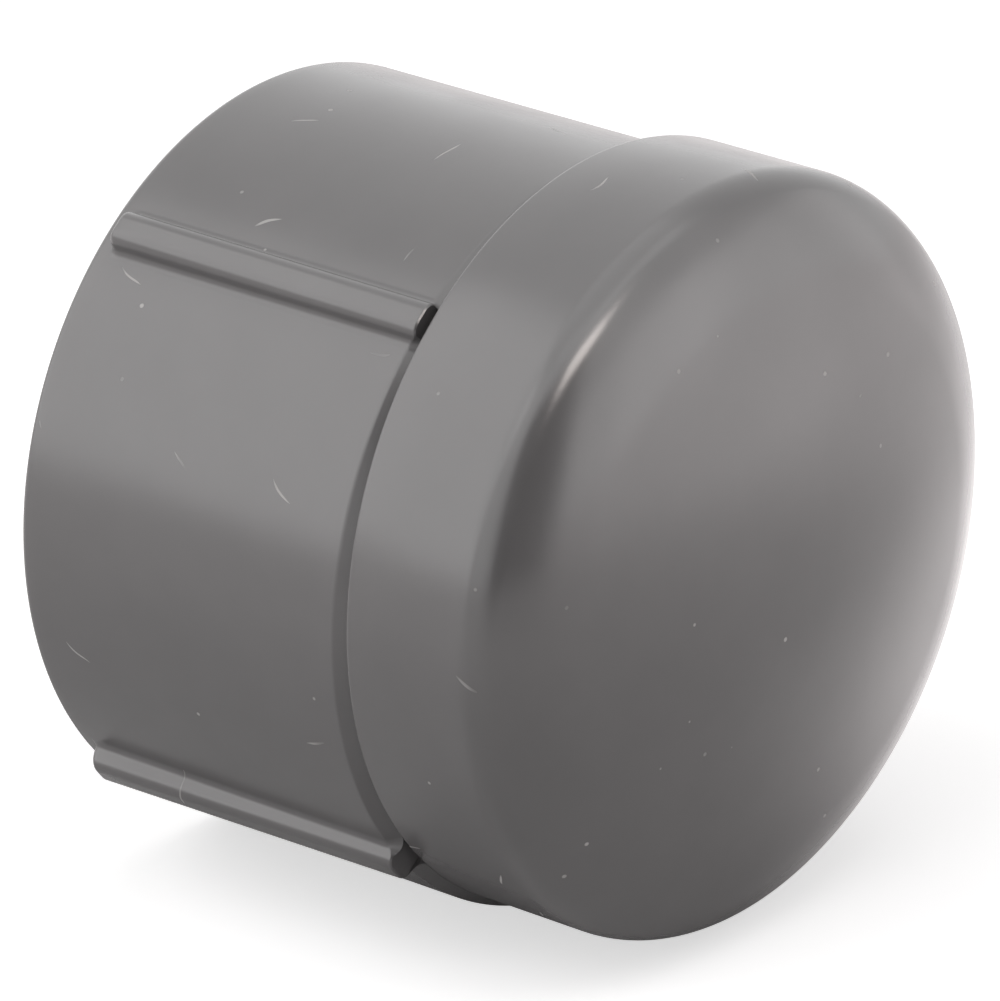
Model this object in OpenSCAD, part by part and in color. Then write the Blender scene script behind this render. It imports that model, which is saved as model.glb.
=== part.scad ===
// Female-threaded pipe cap: a ribbed, internally threaded skirt closed by a domed end.
// The axis lies along X, the open mouth is at x = 0 and the dome points along +X.

/* [Skirt] */
// Outside radius of the skirt
skirt_r = 14.9; // [12:0.1:20]
// Length from the open rim to the parting line
skirt_length = 16.5; // [14:0.1:26]
// Rounding of the outer edge at the open rim
rim_edge_r = 0.35; // [0.1:0.05:0.8]
// Rounding of the outer edge at the parting line
parting_edge_r = 0.4; // [0.1:0.05:0.8]

/* [Ribs] */
// Number of grip ribs around the skirt
rib_count = 4; // [2:1:12]
// Angle of the first rib, from +Y towards +Z
rib_start_angle = 40; // [0:1:90]
// Height of a rib above the skirt
rib_height = 0.8; // [0.4:0.05:1.6]
// Width of a rib where it meets the skirt
rib_base_w = 1.5; // [1.2:0.05:3]
// Lean of each rib flank from the radial direction
rib_flank_angle = 16; // [0:1:20]
// Rounding along both shoulders of a rib
rib_edge_r = 0.35; // [0.1:0.05:0.35]
// Gap between the open rim and the start of a rib
rib_rim_gap = 0.8; // [0:0.05:3]
// Rounding of a rib's crest at its two ends
rib_end_r = 0.4; // [0.1:0.05:0.4]

/* [Dome] */
// Outside radius of the straight band beside the parting line
dome_r = 15.05; // [12:0.05:20]
// Length of the straight band
band_length = 5.45; // [2:0.05:10]
// Radius of the shoulder where it leaves the band
shoulder_r = 1.8; // [1:0.1:4]
// Turn of the shoulder before it eases into the crown
shoulder_turn = 50; // [30:1:55]
// Radius of the easing between the shoulder and the crown
easing_r = 8; // [4:0.1:10]
// Radius of the spherical crown
crown_r = 45; // [26:0.5:80]
// Rounding of the band's edge at the parting line
dome_edge_r = 0.15; // [0.05:0.05:0.5]
// Sideways offset between the two mould halves, towards +Z
mould_offset = 0.6; // [0:0.05:1]

/* [Pipe thread] */
// Thread pitch
thread_pitch = 1.814; // [1:0.001:2.5]
// Radius of the thread crests at the mouth
thread_crest_r = 9.16; // [7:0.02:11]
// Width of the flat at the thread crests
thread_crest_w = 0.06; // [0.02:0.01:0.3]
// Width of the flat at the thread roots
thread_root_w = 0.14; // [0.05:0.01:0.3]
// Length along the axis for each unit that the thread's radius shrinks
thread_taper = 32; // [16:1:64]
// Length of plain bore between the end of the thread and the parting line
thread_land = 2.5; // [1:0.1:6]
// Width of the lead-in chamfer at the mouth
mouth_chamfer = 1.5; // [0.3:0.1:2.5]

/* [Blind end] */
// Wall left behind the socket at the centre of the crown
crown_wall = 4.6; // [4:0.1:10]
// Rounding at the bottom of the socket
socket_corner_r = 2.2; // [0.5:0.1:4]

/* [Hidden] */
$fn = 96;
body_grey = [0.36, 0.36, 0.36];
overlap = 0.5;

// Thread form: half of the included angle, and segments along each turn of the helix
flank_angle = 30;
turn_segments = 30;
runout_turns = 0.75;
groove_inset = 0.35;

// Three arcs run from the band to the axis, each tangent to the next
shoulder_centre = [dome_r - shoulder_r, band_length];
easing_centre = shoulder_centre + (shoulder_r - easing_r) * heading(shoulder_turn);
crown_turn = acos(easing_centre.x / (crown_r - easing_r));
crown_centre = easing_centre + (easing_r - crown_r) * heading(crown_turn);
dome_height = crown_centre.y + crown_r;
socket_depth = dome_height - crown_wall;

// The thread fills the skirt up to its land, and its flats set how deep it is cut
thread_end = skirt_length - thread_land;
thread_turns = thread_end / thread_pitch + 1;
thread_cut = (thread_pitch - thread_crest_w - thread_root_w) / (2 * tan(flank_angle));

// The land and the socket of the dome are one plain bore, as wide as the crests where the thread ends
bore_r = crest_r(thread_end);

// A rib reaches this far into the skirt, so that the two share a volume
rib_root = skirt_r - 2 * rib_height;
rib_crest = skirt_r + rib_height;
rib_step = 360 / rib_count;

// Unit vector at an angle from the first axis
function heading(a) = [cos(a), sin(a)];

// Turns a shape modelled along +Z so that it lies along +X
module along_axis() {
    rotate([0, 90, 0])
        children();
}

// The waste outside a rounded corner at (x, y); sx and sy point out of the corner
module corner_waste(x, y, r, sx, sy) {
    translate([x - sx * r, y - sy * r])
        difference() {
            translate([sx > 0 ? 0 : -r - overlap, sy > 0 ? 0 : -r - overlap])
                square(r + overlap);
            circle(r);
        }
}

// Half section of the skirt's outside, radius along x and length along y
module skirt_section() {
    difference() {
        square([skirt_r, skirt_length]);
        corner_waste(skirt_r, 0, rim_edge_r, 1, -1);
        corner_waste(skirt_r, skirt_length, parting_edge_r, 1, 1);
    }
}

// Cross-section of a rib, standing along +x from the axis
module rib_section() {
    half_base = rib_base_w / 2;
    lean = tan(rib_flank_angle);
    half_root = half_base + (skirt_r - rib_root) * lean;
    arc_x = rib_crest - rib_edge_r;
    arc_y = half_base - (arc_x - skirt_r) * lean - rib_edge_r / cos(rib_flank_angle);
    touch_x = arc_x + rib_edge_r * sin(rib_flank_angle);
    touch_y = arc_y + rib_edge_r * cos(rib_flank_angle);
    polygon([
        [rib_root, -half_root], [touch_x, -touch_y], [arc_x, -arc_y], [rib_crest, -arc_y],
        [rib_crest, arc_y], [arc_x, arc_y], [touch_x, touch_y], [rib_root, half_root]
    ]);
    for (side = [-1, 1])
        translate([arc_x, side * arc_y])
            circle(rib_edge_r);
}

// Side view of a rib, radius along x and length along y, with its crest rounded at both ends
module rib_side() {
    difference() {
        translate([rib_root, rib_rim_gap])
            square([rib_crest - rib_root, skirt_length - rib_rim_gap]);
        corner_waste(rib_crest, rib_rim_gap, rib_end_r, 1, -1);
        corner_waste(rib_crest, skirt_length, rib_end_r, 1, 1);
    }
}

// One grip rib along +Z, standing out along +X
module rib() {
    intersection() {
        linear_extrude(skirt_length)
            rib_section();
        translate([0, rib_base_w, 0])
            rotate([90, 0, 0])
                linear_extrude(2 * rib_base_w)
                    rib_side();
    }
}

// Radius of the thread crests at a depth below the mouth
function crest_r(z) = thread_crest_r - z / thread_taper;

// Depth below the mouth of the groove's centre after a number of turns
function groove_z(turn) = (turn - 1) * thread_pitch;

// How far the groove has drawn back into the bore at its inner end, from 0 to 1
function runout(turn) = max(0, (turn - thread_turns + runout_turns) / runout_turns);

// The four corners of the groove after a number of turns
function groove_corners(turn) =
    let (
        z = groove_z(turn),
        crest = crest_r(z),
        inner = crest - groove_inset,
        outer = crest + thread_cut - runout(turn) * (thread_cut + groove_inset / 2),
        half_out = thread_root_w / 2,
        half_in = half_out + (outer - inner) * tan(flank_angle),
        a = 360 * turn,
        c = cos(a),
        s = sin(a)
    )
    [
        [inner * c, inner * s, z - half_in], [outer * c, outer * s, z - half_out],
        [outer * c, outer * s, z + half_out], [inner * c, inner * s, z + half_in]
    ];

// Right-handed helical groove that follows the taper of the bore
module thread_groove() {
    steps = ceil(thread_turns * turn_segments);
    rings = [for (i = [0 : steps]) groove_corners(thread_turns * i / steps)];
    points = [for (ring = rings) each ring];
    sides = [
        for (i = [0 : steps - 1], k = [0 : 3])
            let (a = 4 * i + k, b = 4 * i + (k + 1) % 4)
            each [[a, b, b + 4], [a, b + 4, a + 4]]
    ];
    first = [[0, 2, 1], [0, 3, 2]];
    last = [for (t = first) [for (k = [2 : -1 : 0]) t[k] + 4 * steps]];
    polyhedron(points, concat(sides, first, last));
}

// Half section of the tapered bore and its plain land, with the lead-in chamfer at the mouth
module bore_section() {
    polygon([
        [0, -overlap],
        [thread_crest_r + mouth_chamfer + overlap, -overlap],
        [crest_r(mouth_chamfer), mouth_chamfer],
        [bore_r, thread_end],
        [bore_r, skirt_length + overlap],
        [0, skirt_length + overlap]
    ]);
}

module threaded_skirt() {
    color(body_grey)
        along_axis()
            difference() {
                union() {
                    rotate_extrude()
                        skirt_section();
                    for (i = [0 : rib_count - 1])
                        rotate(rib_start_angle + 90 + i * rib_step)
                            rib();
                }
                rotate_extrude()
                    bore_section();
                thread_groove();
            }
}

// The part of a disc outside its chord from angle a to angle b, with a strip that overlaps what is inside
module disc_cap(centre, r, a, b) {
    corner = heading((a + b) / 2) / cos((b - a) / 2);
    inner = r - overlap;
    translate(centre)
        intersection() {
            circle(r);
            polygon([inner * heading(a), r * heading(a), r * corner, r * heading(b), inner * heading(b)]);
        }
}

// Half section of the dome's outside, radius along x and height along y
module dome_section() {
    difference() {
        union() {
            polygon([
                [0, 0],
                [dome_r, 0],
                [dome_r, band_length],
                shoulder_centre + shoulder_r * heading(shoulder_turn),
                easing_centre + easing_r * heading(crown_turn),
                [0, dome_height]
            ]);
            disc_cap(shoulder_centre, shoulder_r, 0, shoulder_turn);
            disc_cap(easing_centre, easing_r, shoulder_turn, crown_turn);
            disc_cap(crown_centre, crown_r, crown_turn, 90);
        }
        corner_waste(dome_r, 0, dome_edge_r, 1, -1);
    }
}

// Half section of the blind end of the socket
module socket_section() {
    difference() {
        translate([0, -overlap])
            square([bore_r, socket_depth + overlap]);
        corner_waste(bore_r, socket_depth, socket_corner_r, 1, 1);
    }
}

module domed_end() {
    color(body_grey)
        translate([skirt_length, 0, 0])
            difference() {
                translate([0, 0, mould_offset])
                    along_axis()
                        rotate_extrude()
                            dome_section();
                along_axis()
                    rotate_extrude()
                        socket_section();
            }
}

threaded_skirt();
domed_end();
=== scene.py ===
"""Pipe cap in grey moulded plastic: a ribbed, internally threaded skirt closed by a domed end."""

import math

import bpy
from bpy.props import FloatProperty, FloatVectorProperty, IntProperty, PointerProperty
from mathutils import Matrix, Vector


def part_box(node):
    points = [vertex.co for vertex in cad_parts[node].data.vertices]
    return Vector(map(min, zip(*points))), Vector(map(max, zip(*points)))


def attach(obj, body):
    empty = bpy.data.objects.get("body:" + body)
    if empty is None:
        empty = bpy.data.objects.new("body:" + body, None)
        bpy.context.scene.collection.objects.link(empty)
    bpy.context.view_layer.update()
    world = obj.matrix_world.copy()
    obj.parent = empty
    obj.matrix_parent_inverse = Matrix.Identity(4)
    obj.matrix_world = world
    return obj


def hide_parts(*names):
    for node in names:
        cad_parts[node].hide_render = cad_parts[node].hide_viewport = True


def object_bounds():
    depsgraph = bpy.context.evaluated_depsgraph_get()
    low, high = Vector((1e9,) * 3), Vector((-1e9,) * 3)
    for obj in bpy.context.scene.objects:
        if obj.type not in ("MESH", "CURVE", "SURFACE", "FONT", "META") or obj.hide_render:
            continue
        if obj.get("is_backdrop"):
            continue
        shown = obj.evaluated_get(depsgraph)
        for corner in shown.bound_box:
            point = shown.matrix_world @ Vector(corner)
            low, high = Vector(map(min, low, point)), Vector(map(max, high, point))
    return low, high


bl_info = {
    "name": "Pipe Cap",
    "version": (1, 0, 0),
    "blender": (4, 5, 0),
    "location": "View3D > Sidebar > Pipe Cap",
    "description": "Models a threaded pipe cap with grip ribs and a domed end, and a studio to show it in",
    "category": "Add Mesh",
}

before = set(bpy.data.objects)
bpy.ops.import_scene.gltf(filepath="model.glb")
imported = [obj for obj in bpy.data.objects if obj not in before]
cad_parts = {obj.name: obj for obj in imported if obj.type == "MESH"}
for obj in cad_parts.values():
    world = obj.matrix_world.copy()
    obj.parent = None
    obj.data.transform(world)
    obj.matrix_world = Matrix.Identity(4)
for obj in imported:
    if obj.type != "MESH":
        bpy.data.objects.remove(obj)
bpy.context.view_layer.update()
MM = 0.001
_, SKIRT_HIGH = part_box("threaded_skirt")
DOME_LOW, DOME_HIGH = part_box("domed_end")
BODY = "root"
PLASTIC_NAME = "grey moulded plastic"


# Sizes and finishes

def millimetres(name, description, default):
    """A length property, with its default in millimetres."""
    return FloatProperty(name=name, description=description, default=default * MM, unit="LENGTH", precision=5)


def degrees(name, description, default):
    """An angle property, with its default in degrees."""
    return FloatProperty(name=name, description=description, default=math.radians(default), unit="ROTATION")


class SkirtSizes(bpy.types.PropertyGroup):
    """Sizes of the ribbed, threaded skirt"""

    radius: millimetres("Radius", "Outside radius of the skirt", SKIRT_HIGH.z / MM)
    length: millimetres("Length", "From the open rim to the parting line", SKIRT_HIGH.x / MM)
    rim_edge: millimetres("Rim edge", "Rounding of the outer edge at the open rim", 0.35)
    bevel_length: millimetres("Bevel length", "Length of the bevel beside the parting groove", 0.6)
    bevel_depth: millimetres("Bevel depth", "Depth of that bevel", 0.36)
    bevel_ease: millimetres("Bevel ease", "Rounding where that bevel begins", 0.3)
    groove_width: millimetres("Groove width", "Width of the groove at the parting line", 0.13)
    groove_depth: millimetres("Groove depth", "Depth of that groove below the skirt", 0.8)
    column_step: millimetres("Column step", "Width of a mesh column between the ribs", 0.38)
    rib_count: IntProperty(name="Ribs", description="Number of grip ribs", default=4, min=1)
    rib_angle: degrees("Rib angle", "Angle of the first rib, from +Y towards +Z", 40.9)
    rib_height: millimetres("Rib height", "Height of a rib above the skirt, halfway along it", 0.8)
    rib_fall: millimetres("Rib fall", "Height that a rib loses from its start to the parting line", 0.2)
    rib_width: millimetres("Rib width", "Width of a rib where its flanks meet the skirt", 1.7)
    rib_lean: degrees("Rib lean", "Lean of each flank from the radial direction", 16)
    rib_edge: millimetres("Rib edge", "Rounding along both shoulders of a rib", 0.5)
    rib_fillet: millimetres("Rib fillet", "Fillet between a rib and the skirt", 0.36)
    rib_gap: millimetres("Rib gap", "From the open rim to the start of a rib", 0.8)
    rib_nose: millimetres("Rib nose", "Length over which a rib rises at its start", 0.45)
    rib_bevel: millimetres("Rib bevel", "Length and depth of the bevel at the end of a rib", 0.06)
    rib_groove: millimetres("Rib groove", "Gap between the end of a rib and the parting line", 0.34)


class ThreadSizes(bpy.types.PropertyGroup):
    """Sizes of the taper pipe thread inside the skirt"""

    pitch: millimetres("Pitch", "Advance of the thread in one turn", 1.814)
    crest_radius: millimetres("Crest radius", "Radius of the thread crests at the mouth", 9.16)
    crest_flat: millimetres("Crest flat", "Width of the flat at the thread crests", 0.06)
    root_flat: millimetres("Root flat", "Width of the flat at the thread roots", 0.14)
    flank: degrees("Flank", "Half of the thread's included angle", 30)
    taper: FloatProperty(name="Taper", description="Length for each unit that the radius shrinks", default=32)
    land: millimetres("Land", "Plain bore between the thread and the parting line", 2.5)
    chamfer: millimetres("Chamfer", "Width of the lead-in chamfer at the mouth", 1.5)
    turn_steps: IntProperty(name="Turn steps", description="Mesh steps in one turn", default=72, min=12)


class DomeSizes(bpy.types.PropertyGroup):
    """Sizes of the domed end"""

    radius: millimetres("Radius", "Outside radius of the band", DOME_HIGH.y / MM)
    offset: millimetres(
        "Mould offset", "Offset of the dome from the skirt's axis", (DOME_HIGH.z + DOME_LOW.z) / 2 / MM
    )
    band: millimetres("Band", "Length of the straight band", 5.4)
    shoulder: millimetres("Shoulder", "Radius of the shoulder where it leaves the band", 1.85)
    shoulder_turn: degrees("Shoulder turn", "Turn of the shoulder before it eases into the crown", 50)
    easing: millimetres("Easing", "Radius of the easing between the shoulder and the crown", 8)
    crown: millimetres("Crown", "Radius of the crown", 45)
    edge: millimetres("Edge", "Rounding of the band's edge at the parting line", 0.2)
    crown_wall: millimetres("Crown wall", "Wall between the socket and the middle of the crown", 4.6)
    socket_corner: millimetres("Socket corner", "Rounding at the bottom of the socket", 2.2)
    columns: IntProperty(name="Columns", description="Mesh columns around the dome", default=256, min=24)


class PlasticFinish(bpy.types.PropertyGroup):
    """Colour and surface of the moulded plastic"""

    color: FloatVectorProperty(
        name="Colour", description="Colour of the plastic", subtype="COLOR",
        size=3, default=(0.121, 0.117, 0.118),
    )
    dust_color: FloatVectorProperty(
        name="Dust", description="Colour of the dust on the plastic", subtype="COLOR",
        size=3, default=(0.4, 0.39, 0.38),
    )
    roughness: FloatProperty(name="Roughness", description="Roughness of the clean surface", default=0.25)


class StudioSetup(bpy.types.PropertyGroup):
    """Camera, lamps and backdrop"""

    camera_angle: degrees("Camera angle", "Direction of the camera round the cap, from -Y towards +X", 40.08)
    camera_height: degrees("Camera height", "Elevation of the camera above the horizon", 22.0)
    camera_distance: millimetres("Camera distance", "From the camera to the point it looks at", 344.1)
    camera_lens: FloatProperty(name="Lens", description="Focal length in millimetres", default=324)
    camera_aim: FloatVectorProperty(
        name="Aim", description="The point that the camera looks at", subtype="XYZ", unit="LENGTH",
        size=3, default=(12.60 * MM, -1.48 * MM, 0.835 * MM),
    )
    fill: FloatProperty(name="Fill", description="Strength of the even light from all around", default=0.0)
    surround: FloatProperty(
        name="Surround", description="Strength of the surround in reflections", default=1.7
    )


# Modelling by operators

CREASE = math.radians(35)


def deselect_all():
    """Leaves object mode with nothing selected, so that operators act only on what comes next."""
    if bpy.context.object and bpy.context.object.mode != "OBJECT":
        bpy.ops.object.mode_set(mode="OBJECT")
    bpy.ops.object.select_all(action="DESELECT")


def make_active(piece):
    """Selects one piece alone."""
    deselect_all()
    piece.select_set(True)
    bpy.context.view_layer.objects.active = piece


def add_ring(columns, radius, place=(0, 0, 0)):
    """Adds a bare circle about the cap's axis and starts editing it."""
    deselect_all()
    bpy.ops.mesh.primitive_circle_add(
        vertices=columns, radius=radius, fill_type="NOTHING", location=place, rotation=(0, math.pi / 2, 0)
    )
    bpy.ops.object.transform_apply(location=True, rotation=True, scale=True)
    bpy.ops.object.mode_set(mode="EDIT")
    bpy.ops.mesh.select_all(action="SELECT")
    return bpy.context.object


def close_solid():
    """Caps the open ends of the edited mesh, faces it outwards and leaves edit mode."""
    bpy.ops.mesh.select_all(action="SELECT")
    bpy.ops.mesh.fill_holes(sides=0)
    bpy.ops.mesh.select_all(action="SELECT")
    bpy.ops.mesh.normals_make_consistent(inside=False)
    bpy.ops.object.mode_set(mode="OBJECT")


def lathe(name, columns, outline):
    """Turns a solid about the axis by extruding a circle along its outline of (x, radius, z) points."""
    (x, radius, z), *rest = outline
    piece = add_ring(columns, radius, (x, 0, z))
    piece.name = name
    for next_x, next_radius, next_z in rest:
        bpy.ops.mesh.extrude_region_move(TRANSFORM_OT_translate={"value": (next_x - x, 0, next_z - z)})
        growth = next_radius / radius
        bpy.ops.transform.resize(value=(1, growth, growth), center_override=(next_x, 0, next_z))
        x, radius, z = next_x, next_radius, next_z
    close_solid()
    return piece


def loft(name, rings):
    """Extrudes a circle once for each ring of points, and moves every ring into its place."""
    columns = len(rings[0])
    step = math.tau / columns
    piece = add_ring(columns, 1)
    piece.name = name
    for _ in rings[1:]:
        bpy.ops.mesh.extrude_region_move(TRANSFORM_OT_translate={"value": (1, 0, 0)})
    bpy.ops.object.mode_set(mode="OBJECT")
    for vertex in piece.data.vertices:
        column = round(math.atan2(vertex.co.z, vertex.co.y) / step) % columns
        vertex.co = rings[round(vertex.co.x)][column]
    bpy.ops.object.mode_set(mode="EDIT")
    close_solid()
    return piece


def cut(piece, tool):
    """Cuts the tool's shape out of a piece and removes the tool."""
    make_active(piece)
    boolean = piece.modifiers.new("cut", "BOOLEAN")
    boolean.operation = "DIFFERENCE"
    boolean.solver = "MANIFOLD"
    boolean.object = tool
    bpy.ops.object.modifier_apply(modifier=boolean.name)
    bpy.data.objects.remove(tool)


def finish_piece(piece, node):
    """Smooths a finished piece, gives it its plastic and puts it in the place of its CAD node."""
    make_active(piece)
    bpy.ops.object.shade_smooth_by_angle(angle=CREASE)
    piece.data.materials.clear()
    piece.data.materials.append(plastic())
    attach(piece, BODY)
    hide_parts(node)


# Threaded skirt

FILLET_STEPS = 5
EDGE_STEPS = 6
END_STEPS = 8
BEVEL_STEPS = 5
NOSE_STEPS = 9
BODY_STEPS = 10
SUPPORT = 0.05 * MM
NOSE_SPREAD = 0.7


def rib_columns(sizes):
    """Half of a rib's outline from the skirt to its crest: offset, height, and the outward normal."""
    lean = sizes.rib_lean
    half = sizes.rib_width / 2
    fillet = sizes.rib_fillet
    edge = sizes.rib_edge
    reach = fillet * math.tan(math.pi / 4 - lean / 2)
    fillet_offset = half + reach
    edge_height = sizes.rib_height - edge
    edge_offset = half - edge_height * math.tan(lean) - edge / math.cos(lean)
    columns = [(fillet_offset + SUPPORT, 0.0, math.pi / 2)]
    for i in range(FILLET_STEPS + 1):
        turn = math.pi / 2 + (lean - math.pi / 2) * i / FILLET_STEPS
        columns.append((fillet_offset - fillet * math.cos(turn), fillet - fillet * math.sin(turn), turn))
    for i in range(EDGE_STEPS + 1):
        turn = lean + (math.pi / 2 - lean) * i / EDGE_STEPS
        columns.append((edge_offset + edge * math.cos(turn), edge_height + edge * math.sin(turn), turn))
    columns.append((edge_offset - SUPPORT, sizes.rib_height, math.pi / 2))
    return columns


def skirt_columns(sizes):
    """Columns around the skirt: angle of the rib, offset from its middle, height, normal, and rib share."""
    half = rib_columns(sizes)
    sector = math.tau / sizes.rib_count
    radius = sizes.radius
    plain_from = half[0][0] / radius
    plain_steps = round((sector - 2 * plain_from) * radius / sizes.column_step)
    columns = []
    for rib in range(sizes.rib_count):
        middle = sizes.rib_angle + rib * sector
        outline = [(-u, h, math.pi - n) for u, h, n in half] + [(0.0, sizes.rib_height, math.pi / 2)]
        outline += [(u, h, n) for u, h, n in reversed(half)]
        for u, h, n in outline:
            columns.append((middle, u, h, n, min(1.0, h / sizes.rib_fillet)))
        for i in range(1, plain_steps):
            turn = plain_from + (sector - 2 * plain_from) * i / plain_steps
            columns.append((middle, turn * radius, 0.0, math.pi / 2, 0.0))
    return columns


def skirt_ring(sizes, columns, place):
    """One ring of the skirt; place gives x, inward offset, rise and spread for a column's rib share."""
    ring = []
    for middle, u, h, normal, share in columns:
        x, inward, rise, spread = place(share)
        offset = u * (spread if share > 0 else 1.0) - inward * math.cos(normal) * rise
        height = h * rise - inward * (math.sin(normal) if rise else 1.0)
        turn = middle + offset / sizes.radius
        radius = sizes.radius + height
        ring.append((x, radius * math.cos(turn), radius * math.sin(turn)))
    return ring


def parting_edge(sizes, share):
    """Bevel and groove at the parting line for a column's rib share.

    Each point says how far it is from the end, how far inwards, and whether the rib is still there.
    """
    def mixed(skirt_size, rib_size):
        return skirt_size + (rib_size - skirt_size) * share

    length = mixed(sizes.bevel_length, sizes.rib_bevel)
    depth = mixed(sizes.bevel_depth, sizes.rib_bevel)
    ease = mixed(sizes.bevel_ease, sizes.rib_bevel)
    groove = mixed(sizes.groove_width, sizes.rib_groove)
    slope = math.atan2(depth, length)
    begin = groove + length + ease * math.tan(slope / 2)
    turns = [slope * i / BEVEL_STEPS for i in range(BEVEL_STEPS + 1)]
    points = [(begin - ease * math.sin(turn), ease * (1 - math.cos(turn)), 1) for turn in turns]
    return points + [(groove, depth, 1), (groove, sizes.groove_depth, 0), (0.0, sizes.groove_depth, 0)]


def skirt_rings(sizes):
    """Rings of the solid skirt, from the mouth's edge over the outside to the edge of the parting face."""
    columns = skirt_columns(sizes)
    end = sizes.length
    quarter = math.pi / 2

    def rise_at(x):
        return 1 + sizes.rib_fall / sizes.rib_height * (0.5 - x / end)

    places = []
    for i in range(END_STEPS + 1):
        turn = quarter * i / END_STEPS
        x = sizes.rim_edge * (1 - math.cos(turn))
        inward = sizes.rim_edge * (1 - math.sin(turn))
        places.append(lambda share, x=x, inward=inward: (x, inward, 0.0, 1.0))
    for i in range(NOSE_STEPS + 1):
        turn = quarter * i / NOSE_STEPS
        x = sizes.rib_gap + sizes.rib_nose * (1 - math.cos(turn))
        rise = math.sin(turn)
        spread = NOSE_SPREAD + (1 - NOSE_SPREAD) * rise
        places.append(lambda share, x=x, rise=rise, spread=spread: (x, 0.0, rise * rise_at(x), spread))
    first = sizes.rib_gap + sizes.rib_nose
    plain_edge = parting_edge(sizes, 0.0)
    last = end - plain_edge[0][0] - SUPPORT
    for i in range(1, BODY_STEPS + 1):
        x = first + (last - first) * i / BODY_STEPS
        places.append(lambda share, x=x: (x, 0.0, rise_at(x), 1.0))
    for i in range(len(plain_edge)):
        def place(share, i=i):
            back, inward, on_rib = parting_edge(sizes, share)[i]
            return (end - back, inward, on_rib * rise_at(end), 1.0)

        places.append(place)
    return [skirt_ring(sizes, columns, place) for place in places]


def crest_radius(thread, x):
    """Radius of the thread crests at a distance from the mouth."""
    return thread.crest_radius - x / thread.taper


def bore_tool(skirt, thread):
    """The tapered bore with its plain land and its lead-in chamfer, as a solid to cut with."""
    over = MM
    thread_end = skirt.length - thread.land
    bore = crest_radius(thread, thread_end)
    outline = [
        (-over, thread.crest_radius + thread.chamfer + over, 0.0),
        (thread.chamfer, crest_radius(thread, thread.chamfer), 0.0),
        (thread_end, bore, 0.0),
        (skirt.length + over, bore, 0.0),
    ]
    return lathe("bore tool", 2 * thread.turn_steps, outline)


def groove_tool(skirt, thread):
    """The helical groove of the thread as a closed bar, drawn back into the bore at its inner end."""
    inset = 0.35 * MM
    runout_turns = 0.75
    thread_end = skirt.length - thread.land
    cut_depth = (thread.pitch - thread.crest_flat - thread.root_flat) / (2 * math.tan(thread.flank))
    half_root = thread.root_flat / 2
    half_inner = half_root + (cut_depth + inset) * math.tan(thread.flank)
    start = -thread.pitch
    turns = (thread_end - start) / thread.pitch
    section = [
        (start - half_inner, thread.crest_radius - inset),
        (start - half_root, thread.crest_radius + cut_depth),
        (start + half_root, thread.crest_radius + cut_depth),
        (start + half_inner, thread.crest_radius - inset),
    ]
    deselect_all()
    bpy.ops.mesh.primitive_plane_add(size=1)
    tool = bpy.context.object
    tool.name = "groove tool"
    loop = [tool.data.loops[i].vertex_index for i in tool.data.polygons[0].loop_indices]
    for index, (x, r) in zip(loop, section):
        tool.data.vertices[index].co = (x, r, 0.0)
    bpy.ops.object.mode_set(mode="EDIT")
    bpy.ops.mesh.select_all(action="SELECT")
    bpy.ops.mesh.delete(type="ONLY_FACE")
    bpy.ops.object.mode_set(mode="OBJECT")
    screw = tool.modifiers.new("helix", "SCREW")
    screw.axis = "X"
    screw.angle = math.tau * turns
    screw.screw_offset = thread.pitch * turns
    screw.steps = round(thread.turn_steps * turns)
    screw.render_steps = screw.steps
    bpy.ops.object.modifier_apply(modifier=screw.name)
    middle = thread.crest_radius + cut_depth / 2
    for vertex in tool.data.vertices:
        x, y, z = vertex.co
        radius = math.hypot(y, z)
        fade = min(1.0, max(0.0, 1 - (thread_end - x) / (runout_turns * thread.pitch)))
        drop = fade * (cut_depth + inset / 2) if radius > middle else 0.0
        scale = (radius - x / thread.taper - drop) / radius
        vertex.co = (x, y * scale, z * scale)
    bpy.ops.object.mode_set(mode="EDIT")
    bpy.ops.mesh.select_all(action="SELECT")
    bpy.ops.mesh.fill_holes(sides=len(section))
    bpy.ops.mesh.select_all(action="SELECT")
    bpy.ops.mesh.normals_make_consistent(inside=False)
    bpy.ops.object.mode_set(mode="OBJECT")
    return tool


class PIPECAP_OT_skirt(bpy.types.Operator):
    """Model the ribbed skirt and cut its tapered bore and thread"""

    bl_idname = "pipe_cap.skirt"
    bl_label = "Threaded skirt"

    def execute(self, context):
        skirt = context.scene.pipe_cap_skirt
        thread = context.scene.pipe_cap_thread
        piece = loft("threaded_skirt_moulding", skirt_rings(skirt))
        cut(piece, bore_tool(skirt, thread))
        cut(piece, groove_tool(skirt, thread))
        finish_piece(piece, "threaded_skirt")
        return {"FINISHED"}


# Domed end

BAND_EDGE_STEPS = 6
SHOULDER_STEPS = 16
EASING_STEPS = 14
CROWN_STEPS = 20
SOCKET_STEPS = 10


def arc(centre, radius, start, end, steps):
    """Points along an arc, each as depth and radius; an angle of 0 faces outwards."""
    turns = [start + (end - start) * i / steps for i in range(steps + 1)]
    return [(centre[0] + radius * math.sin(t), centre[1] + radius * math.cos(t)) for t in turns]


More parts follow.
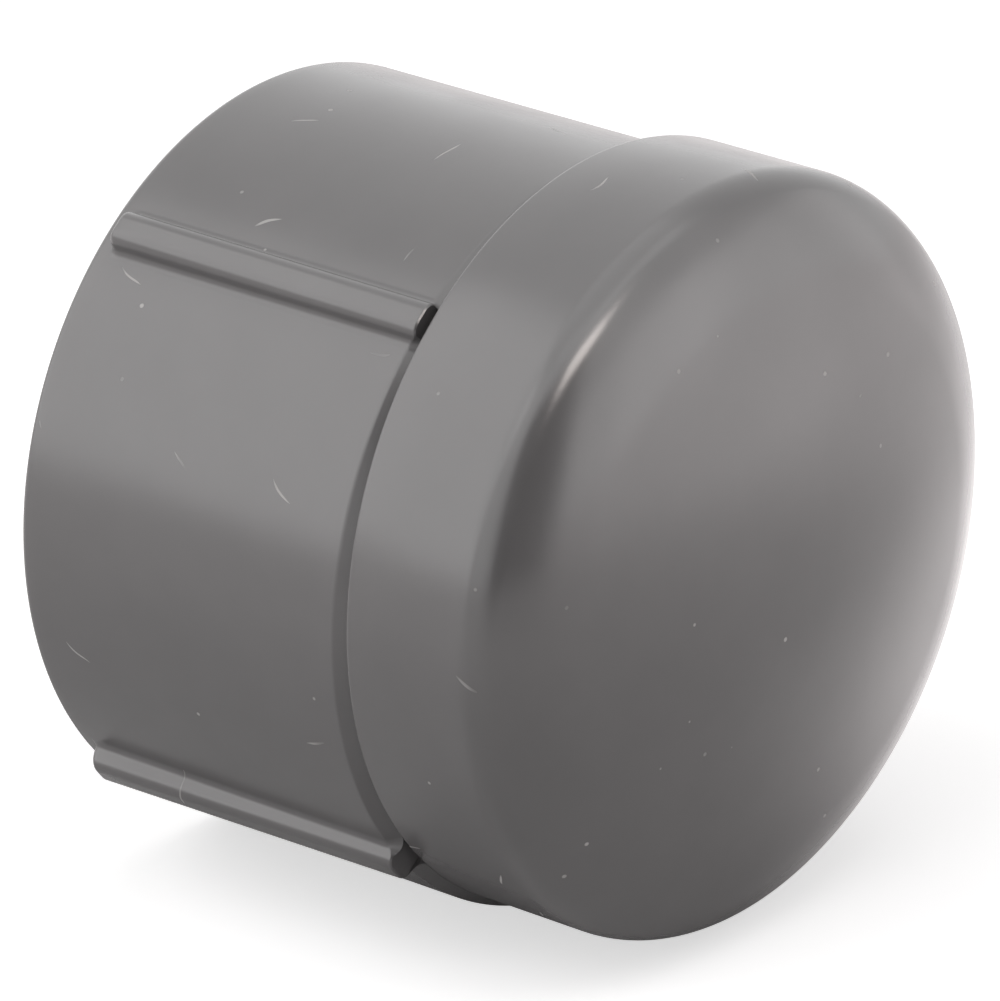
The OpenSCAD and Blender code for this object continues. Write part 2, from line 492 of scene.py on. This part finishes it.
def dome_outside(dome):
    """Outline of the dome's outside, from the parting face over three tangent arcs almost to the axis."""
    turn = dome.shoulder_turn
    quarter = math.pi / 2
    edge_at = (dome.edge, dome.radius - dome.edge)
    shoulder_at = (dome.band, dome.radius - dome.shoulder)
    step = dome.shoulder - dome.easing
    easing_at = (shoulder_at[0] + step * math.sin(turn), shoulder_at[1] + step * math.cos(turn))
    crown_turn = math.acos(easing_at[1] / (dome.crown - dome.easing))
    crown_at = (easing_at[0] + (dome.easing - dome.crown) * math.sin(crown_turn), 0.0)
    last_turn = quarter - SUPPORT / dome.crown
    return [
        *arc(edge_at, dome.edge, -quarter, 0, BAND_EDGE_STEPS),
        (dome.band / 2, dome.radius),
        *arc(shoulder_at, dome.shoulder, 0, turn, SHOULDER_STEPS),
        *arc(easing_at, dome.easing, turn, crown_turn, EASING_STEPS)[1:],
        *arc(crown_at, dome.crown, crown_turn, last_turn, CROWN_STEPS)[1:],
    ]


def dome_inside(dome, bore, depth):
    """Outline of the dome's plain socket, from its flat bottom to the parting face."""
    corner_at = (depth - dome.socket_corner, bore - dome.socket_corner)
    corner = arc(corner_at, dome.socket_corner, math.pi / 2, 0, SOCKET_STEPS)
    return [(depth, bore / 3), *corner, (0.0, bore)]


class PIPECAP_OT_dome(bpy.types.Operator):
    """Model the domed end with its band, shoulder, crown and plain socket"""

    bl_idname = "pipe_cap.dome"
    bl_label = "Domed end"

    def execute(self, context):
        dome = context.scene.pipe_cap_dome
        skirt = context.scene.pipe_cap_skirt
        thread = context.scene.pipe_cap_thread
        outside = dome_outside(dome)
        bore = crest_radius(thread, skirt.length - thread.land)
        inside = dome_inside(dome, bore, outside[-1][0] - dome.crown_wall)
        outline = [(skirt.length + x, r, 0.0) for x, r in inside]
        outline += [(skirt.length + x, r, dome.offset) for x, r in outside]
        piece = lathe("domed_end_moulding", dome.columns, outline)
        finish_piece(piece, "domed_end")
        return {"FINISHED"}


# Shader nodes

def put(tree, socket, value):
    """Sets a socket to a plain value, or links an output to it."""
    if isinstance(value, bpy.types.NodeSocket):
        tree.links.new(value, socket)
    else:
        socket.default_value = value


def add_node(tree, kind, inputs, **settings):
    """A new shader node with its settings, and with the inputs that are named."""
    node = tree.nodes.new(kind)
    for name, value in settings.items():
        setattr(node, name, value)
    for name, value in inputs.items():
        put(tree, next(socket for socket in node.inputs if socket.name == name and socket.enabled), value)
    return node


def calculate(tree, operation, *values):
    """A sum, product or other calculation on numbers and outputs."""
    node = tree.nodes.new("ShaderNodeMath")
    node.operation = operation
    for socket, value in zip(node.inputs, values):
        put(tree, socket, value)
    return node.outputs["Value"]


def ramp(tree, value, low, high, to_low=0.0, to_high=1.0):
    """Carries a value smoothly from one range to another."""
    node = add_node(tree, "ShaderNodeMapRange", {
        "Value": value, "From Min": low, "From Max": high, "To Min": to_low, "To Max": to_high,
    }, interpolation_type="SMOOTHSTEP")
    return node.outputs["Result"]


def blend(tree, share, first, second):
    """Mixes two colours, each a plain colour or an output."""
    node = add_node(tree, "ShaderNodeMix", {"Factor": share, "A": first, "B": second}, data_type="RGBA")
    return next(socket for socket in node.outputs if socket.enabled)


# Plastic

# Scales of the patterns, in cells or waves to a millimetre
MOTTLE_SCALE = 0.35
DUST_SCALE = 0.5
PATCH_SCALE = 0.4
SMUDGE_SCALE = 0.25
WAVE_SCALE = 0.12
GRAIN_SCALE = 3
CURL_SCALE = 0.6
# Strengths of the patterns: shares of the colour and of the roughness, and depths
MOTTLE = 0.06
SMUDGE = 0.02
MARK_ROUGHNESS = 0.4
WAVE_DEPTH = 0.06 * MM
GRAIN_DEPTH = 0.002 * MM
# Limits between clean plastic and marks, each from none to full
DUST_EDGE = (0.055, 0.03)
PATCH_EDGE = (0.3, 0.6)
SMUDGE_EDGE = (0.35, 0.65)
FIBRE_EDGE = (1.0, 0.6)
SIDE_EDGE = (0.5, 0.2)
# Fibres, in millimetres: width of a cell, share of cells with one, half length and width, and bend
FIBRE_CELL = 5
FIBRE_SHARE = 0.45
FIBRE_SIZE = (0.65, 0.055)
FIBRE_CURL = 0.9


def fibre_marks(tree, place):
    """Short fibres on the cap's sides, at most one to a cell of the unrolled surface, each its own way."""
    at = add_node(tree, "ShaderNodeSeparateXYZ", {"Vector": place}).outputs
    turn = calculate(tree, "ARCTAN2", at["Z"], calculate(tree, "MULTIPLY", at["Y"], -1.0))
    round_side = calculate(tree, "MULTIPLY", turn, SKIRT_HIGH.z / MM)
    unrolled = add_node(tree, "ShaderNodeCombineXYZ", {"X": at["X"], "Y": round_side}).outputs["Vector"]
    curl = add_node(tree, "ShaderNodeTexNoise", {"Vector": unrolled, "Scale": CURL_SCALE, "Detail": 0})
    bent = add_node(tree, "ShaderNodeVectorMath", {"Vector": curl.outputs["Color"]}, operation="MULTIPLY_ADD")
    bent.inputs[1].default_value = (FIBRE_CURL, FIBRE_CURL, 0)
    put(tree, bent.inputs[2], unrolled)
    curled = bent.outputs["Vector"]
    cell = add_node(
        tree, "ShaderNodeTexVoronoi", {"Vector": curled, "Scale": 1 / FIBRE_CELL}, voronoi_dimensions="2D"
    )
    chance = add_node(tree, "ShaderNodeSeparateColor", {"Color": cell.outputs["Color"]}).outputs
    from_middle = add_node(tree, "ShaderNodeVectorMath", {"Vector": curled}, operation="SUBTRACT")
    put(tree, from_middle.inputs[1], cell.outputs["Position"])
    angle = calculate(tree, "MULTIPLY", chance["Red"], math.tau)
    turned = add_node(tree, "ShaderNodeVectorRotate", {
        "Vector": from_middle.outputs["Vector"], "Angle": angle,
    }, rotation_type="Z_AXIS")
    length, width = FIBRE_SIZE
    sized = add_node(tree, "ShaderNodeMapping", {
        "Vector": turned.outputs["Vector"], "Scale": (1 / length, 1 / width, 0),
    })
    far = add_node(tree, "ShaderNodeVectorMath", {"Vector": sized.outputs["Vector"]}, operation="LENGTH")
    marks = ramp(tree, far.outputs["Value"], *FIBRE_EDGE)
    marks = calculate(tree, "MULTIPLY", marks, calculate(tree, "LESS_THAN", chance["Green"], FIBRE_SHARE))
    normal = tree.nodes.new("ShaderNodeTexCoord").outputs["Normal"]
    along_axis = add_node(tree, "ShaderNodeSeparateXYZ", {"Vector": normal}).outputs["X"]
    endways = calculate(tree, "ABSOLUTE", along_axis)
    return calculate(tree, "MULTIPLY", marks, ramp(tree, endways, *SIDE_EDGE))


def plastic():
    """Grey semi-gloss moulding: faint mottling and waviness, a fine grain, dust and a few fibres."""
    if PLASTIC_NAME in bpy.data.materials:
        return bpy.data.materials[PLASTIC_NAME]
    finish = bpy.context.scene.pipe_cap_plastic
    material = bpy.data.materials.new(PLASTIC_NAME)
    material.use_nodes = True
    tree = material.node_tree
    shader = tree.nodes["Principled BSDF"]
    in_metres = tree.nodes.new("ShaderNodeTexCoord").outputs["Object"]
    in_millimetres = add_node(tree, "ShaderNodeMapping", {"Vector": in_metres, "Scale": (1 / MM,) * 3})
    place = in_millimetres.outputs["Vector"]

    def noise(scale, detail):
        node = add_node(tree, "ShaderNodeTexNoise", {"Vector": place, "Scale": scale, "Detail": detail})
        return node.outputs["Fac"]

    color = Vector(finish.color)
    darker, lighter = (*(color * (1 - MOTTLE)), 1), (*(color * (1 + MOTTLE)), 1)
    mottled = blend(tree, noise(MOTTLE_SCALE, 3), darker, lighter)
    specks = add_node(tree, "ShaderNodeTexVoronoi", {"Vector": place, "Scale": DUST_SCALE})
    dust = ramp(tree, specks.outputs["Distance"], *DUST_EDGE)
    fibres = fibre_marks(tree, place)
    marks = calculate(tree, "MAXIMUM", dust, fibres)
    marks = calculate(tree, "MULTIPLY", marks, ramp(tree, noise(PATCH_SCALE, 0), *PATCH_EDGE))
    put(tree, shader.inputs["Base Color"], blend(tree, marks, mottled, (*finish.dust_color, 1)))
    smoother, rougher = finish.roughness - SMUDGE, finish.roughness + SMUDGE
    smudges = ramp(tree, noise(SMUDGE_SCALE, 4), *SMUDGE_EDGE, smoother, rougher)
    put(tree, shader.inputs["Roughness"], calculate(tree, "MULTIPLY_ADD", marks, MARK_ROUGHNESS, smudges))
    waves = add_node(tree, "ShaderNodeBump", {"Height": noise(WAVE_SCALE, 1), "Distance": WAVE_DEPTH})
    grain = add_node(tree, "ShaderNodeBump", {
        "Height": noise(GRAIN_SCALE, 2), "Distance": GRAIN_DEPTH, "Normal": waves.outputs["Normal"],
    })
    put(tree, shader.inputs["Normal"], grain.outputs["Normal"])
    return material


# Studio

# Soft panels: name, angle from -Y towards +X, elevation, distance, width, height, brightness, colour
PANELS = (
    ("left wall", -43, 29, 0.30, 0.303, 0.353, 1.92, (1, 0.985, 0.985)),
    ("left wall end", 2, 17, 0.30, 0.154, 0.19, 0.72, (1, 0.985, 0.985)),
    ("left wall top", 2, 47.5, 0.30, 0.14, 0.133, 1.4, (1, 0.985, 0.985)),
    ("right wall top", 110, 55, 0.30, 0.25, 0.20, 0.9, (1, 0.97, 0.97)),
    ("right reflector", 123, 10, 0.111, 0.20, 0.085, 0.88, (1, 0.95, 0.95)),
    ("roof", 0, 90, 0.30, 0.30, 0.30, 1.12, (1, 0.99, 0.99)),
    ("roof front", 51, 62, 0.30, 0.20, 0.12, 0.7, (1, 0.99, 0.99)),
)
# Panels of the same kind that only reflections see
GLINTS = (
    ("right sheet", 105, 17, 0.30, 0.24, 0.20, 1.3, (1, 0.97, 0.97)),
    ("near sheet", 118, 13, 0.085, 0.07, 0.072, 0.8, (1, 0.97, 0.97)),
    ("ceiling lamp", 72.4, 46.5, 0.20, 0.074, 0.040, 14.6, (1, 0.92, 0.88)),
)
# Black card: angle, elevation and distance, then width and height
CARD_PLACE = (53.3, 20, 0.25)
CARD_SIZE = (0.238, 0.27)
FLOOR_SIZE = 6
# Glow of the floor in reflections, by distance in metres: from, to, and the levels there
GLOW_BEHIND_ACROSS = (-0.012, 0.024, 0.024, 0.046)
GLOW_BEHIND_BACK = (0.0, 0.026)
GLOW_BEHIND_AWAY = (0.10, 0.045)
GLOW_BEHIND = 1.5
GLOW_AROUND = (0.015, 0.07, 0.0, 0.6)
GLOW_RIGHT_ANGLE = 153
GLOW_RIGHT = (0.064, 0.084, 0.0, 0.6)
GLOW_BESIDE = (0.022, 0.032, 0.0, 0.14)
# Painted shadow of the floor under the parting line, seen in reflections, and its glow to the camera
PAINTED_SHADOW_ACROSS = (0.010, 0.014, 0.0175, 0.0215)
PAINTED_SHADOW_AWAY = (0.03, 0.015)
GLOW_TO_CAMERA = (0.1, 0.4, 0.6, 1.0)
FLOOR_WHITE = (0.8, 0.8, 0.8, 1)
# Painted shadow colour of the floor under the parting line, seen only in reflections
FLOOR_PAINTED_SHADOW = (0.35, 0.35, 0.35, 1)
CARD_BLACK = (0.01, 0.01, 0.01, 1)
WHITE = (1, 1, 1, 1)
WARM_WHITE = (1, 0.95, 0.95, 1)


def direction(azimuth, elevation):
    """Unit vector at an angle from -Y towards +X and above the horizon."""
    flat = math.cos(elevation)
    return Vector((math.sin(azimuth) * flat, -math.cos(azimuth) * flat, math.sin(elevation)))


def facing(azimuth, elevation, distance, centre):
    """Where a lamp or a card stands at a distance from a centre, and its turn to face that centre."""
    away = direction(math.radians(azimuth), math.radians(elevation))
    return centre + away * distance, away.to_track_quat("Z", "Y").to_euler()


def add_panel(centre, name, azimuth, elevation, distance, width, height, brightness, color):
    """A soft rectangular lamp that faces the cap, equally bright all over."""
    deselect_all()
    place, turn = facing(azimuth, elevation, distance, centre)
    bpy.ops.object.light_add(type="AREA", location=place, rotation=turn)
    lamp = bpy.context.object
    lamp.name = name
    lamp.data.shape = "RECTANGLE"
    lamp.data.size = width
    lamp.data.size_y = height
    lamp.data.energy = brightness * math.pi * width * height
    lamp.data.color = color
    lamp.visible_camera = False
    return lamp


def add_sheet(name, material, place, turn, width, height):
    """A flat sheet that belongs to the stage."""
    deselect_all()
    bpy.ops.mesh.primitive_plane_add(size=1, location=place, rotation=turn)
    sheet = bpy.context.object
    sheet.name = name
    sheet.scale = (width, height, 1)
    bpy.ops.object.transform_apply(location=True, rotation=True, scale=True)
    sheet.data.materials.append(material)
    sheet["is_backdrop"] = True
    return sheet


def new_material(name):
    """A material with an empty tree, and the output that its surface goes to."""
    material = bpy.data.materials.new(name)
    material.use_nodes = True
    tree = material.node_tree
    tree.nodes.clear()
    return material, tree, tree.nodes.new("ShaderNodeOutputMaterial").inputs["Surface"]


def seen_level(tree, to_camera, in_reflections, otherwise):
    """A strength for camera rays, one for rays reflected or passed on, and one for all others."""
    rays = tree.nodes.new("ShaderNodeLightPath").outputs
    passed_on = calculate(tree, "ADD", rays["Is Glossy Ray"], rays["Is Transmission Ray"])
    level = calculate(tree, "MULTIPLY", passed_on, in_reflections)
    level = calculate(tree, "MULTIPLY_ADD", rays["Is Camera Ray"], to_camera, level)
    return calculate(tree, "MAXIMUM", level, otherwise)


def floor_material(centre):
    """Pale floor, white to the camera with the cap's shadow, brighter in places in reflections, and with a
    painted shadow under the parting line in reflections.
    """
    material, tree, surface = new_material("pale floor")
    material.cycles.emission_sampling = "NONE"
    place = tree.nodes.new("ShaderNodeTexCoord").outputs["Object"]

    def along(azimuth):
        node = add_node(tree, "ShaderNodeVectorMath", {"Vector": place}, operation="DOT_PRODUCT")
        node.inputs[1].default_value = direction(math.radians(azimuth), 0)
        return node.outputs["Value"]

    distance = add_node(tree, "ShaderNodeVectorMath", {"Vector": place}, operation="DISTANCE")
    distance.inputs[1].default_value = (centre.x, centre.y, 0)
    away = distance.outputs["Value"]
    across = along(90)

    def window(value, low, full, full_to, high):
        rising, falling = ramp(tree, value, low, full), ramp(tree, value, high, full_to)
        return calculate(tree, "MULTIPLY", rising, falling)

    # In reflections the floor glows behind the dome, all around, far to the right and beside the dome
    behind = window(across, *GLOW_BEHIND_ACROSS)
    behind = calculate(tree, "MULTIPLY", behind, ramp(tree, along(180), *GLOW_BEHIND_BACK))
    behind = calculate(tree, "MULTIPLY", behind, ramp(tree, away, *GLOW_BEHIND_AWAY))
    around = ramp(tree, away, *GLOW_AROUND)
    far_right = ramp(tree, along(GLOW_RIGHT_ANGLE), *GLOW_RIGHT)
    beside = ramp(tree, across, *GLOW_BESIDE)
    level = calculate(tree, "MULTIPLY_ADD", behind, GLOW_BEHIND, around)
    level = calculate(tree, "ADD", calculate(tree, "ADD", level, far_right), beside)

    # Painted shadow: in reflections the floor's colour is darker under the parting line
    reflected = tree.nodes.new("ShaderNodeLightPath").outputs["Is Glossy Ray"]
    painted_shadow_mask = window(across, *PAINTED_SHADOW_ACROSS)
    painted_shadow_mask = calculate(tree, "MULTIPLY", painted_shadow_mask, ramp(tree, away, *PAINTED_SHADOW_AWAY))
    color = blend(tree, calculate(tree, "MULTIPLY", reflected, painted_shadow_mask), FLOOR_WHITE, FLOOR_PAINTED_SHADOW)

    # To the camera it whitens with its distance from the cap
    to_camera = ramp(tree, away, *GLOW_TO_CAMERA)
    matt = add_node(tree, "ShaderNodeBsdfDiffuse", {"Color": color})
    glow = add_node(tree, "ShaderNodeEmission", {
        "Color": blend(tree, reflected, WHITE, WARM_WHITE),
        "Strength": seen_level(tree, to_camera, level, 0.0),
    })
    both = tree.nodes.new("ShaderNodeAddShader")
    put(tree, both.inputs[0], matt.outputs["BSDF"])
    put(tree, both.inputs[1], glow.outputs["Emission"])
    put(tree, surface, both.outputs["Shader"])
    return material


def card_material():
    """Matt black card."""
    material, tree, surface = new_material("black card")
    put(tree, surface, add_node(tree, "ShaderNodeBsdfDiffuse", {"Color": CARD_BLACK}).outputs["BSDF"])
    return material


class PIPECAP_OT_studio(bpy.types.Operator):
    """Set up the floor, the soft lamps, the white surround and the camera"""

    bl_idname = "pipe_cap.studio"
    bl_label = "Studio"

    def execute(self, context):
        studio = context.scene.pipe_cap_studio
        low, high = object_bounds()
        centre = (low + high) / 2
        floor = floor_material(centre)
        add_sheet("floor", floor, (0, 0, low.z), (0, 0, 0), FLOOR_SIZE, FLOOR_SIZE)
        for panel in PANELS:
            add_panel(centre, *panel)
        for glint in GLINTS:
            add_panel(centre, *glint).visible_diffuse = False
        self.add_black_card(centre)
        self.set_surround(context, studio)
        self.set_camera(context, studio)
        context.scene.view_settings.view_transform = "Standard"
        return {"FINISHED"}

    def add_black_card(self, centre):
        """A card that only reflections see, so that the plastic has something dark to mirror."""
        place, turn = facing(*CARD_PLACE, centre)
        card = add_sheet("black card", card_material(), place, turn, *CARD_SIZE)
        card.visible_camera = False
        card.visible_diffuse = False
        card.visible_shadow = False

    def set_surround(self, context, studio):
        """White to the camera, brighter in reflections, and an even fill for the rest."""
        world = bpy.data.worlds.new("white surround")
        context.scene.world = world
        world.use_nodes = True
        tree = world.node_tree
        background = tree.nodes["Background"]
        background.inputs["Color"].default_value = WHITE
        world.cycles.sampling_method = "NONE"
        put(tree, background.inputs["Strength"], seen_level(tree, 1.0, studio.surround, studio.fill))

    def set_camera(self, context, studio):
        """A long lens from the front right, a little above the cap."""
        deselect_all()
        away = direction(studio.camera_angle, studio.camera_height)
        place = Vector(studio.camera_aim) + away * studio.camera_distance
        bpy.ops.object.camera_add(location=place, rotation=away.to_track_quat("Z", "Y").to_euler())
        camera = context.object
        camera.data.sensor_fit = "HORIZONTAL"
        camera.data.lens = studio.camera_lens
        camera.data.clip_start = 10 * MM
        context.scene.camera = camera


class PIPECAP_PT_sidebar(bpy.types.Panel):
    """Lists the steps that build the pipe cap"""

    bl_idname = "PIPECAP_PT_sidebar"
    bl_label = "Pipe Cap"
    bl_space_type = "VIEW_3D"
    bl_region_type = "UI"
    bl_category = "Pipe Cap"

    def draw(self, context):
        for step in STEPS:
            self.layout.operator(step.bl_idname)


GROUPS = {
    "pipe_cap_skirt": SkirtSizes,
    "pipe_cap_thread": ThreadSizes,
    "pipe_cap_dome": DomeSizes,
    "pipe_cap_plastic": PlasticFinish,
    "pipe_cap_studio": StudioSetup,
}
STEPS = (PIPECAP_OT_skirt, PIPECAP_OT_dome, PIPECAP_OT_studio)


def register():
    for cls in (*GROUPS.values(), *STEPS, PIPECAP_PT_sidebar):
        bpy.utils.register_class(cls)
    for name, group in GROUPS.items():
        setattr(bpy.types.Scene, name, PointerProperty(type=group))


def unregister():
    for name in GROUPS:
        delattr(bpy.types.Scene, name)
    for cls in (PIPECAP_PT_sidebar, *reversed(STEPS), *reversed(list(GROUPS.values()))):
        bpy.utils.unregister_class(cls)


def main():
    register()
    bpy.ops.pipe_cap.skirt()
    bpy.ops.pipe_cap.dome()
    bpy.ops.pipe_cap.studio()


if __name__ == "__main__":
    main()
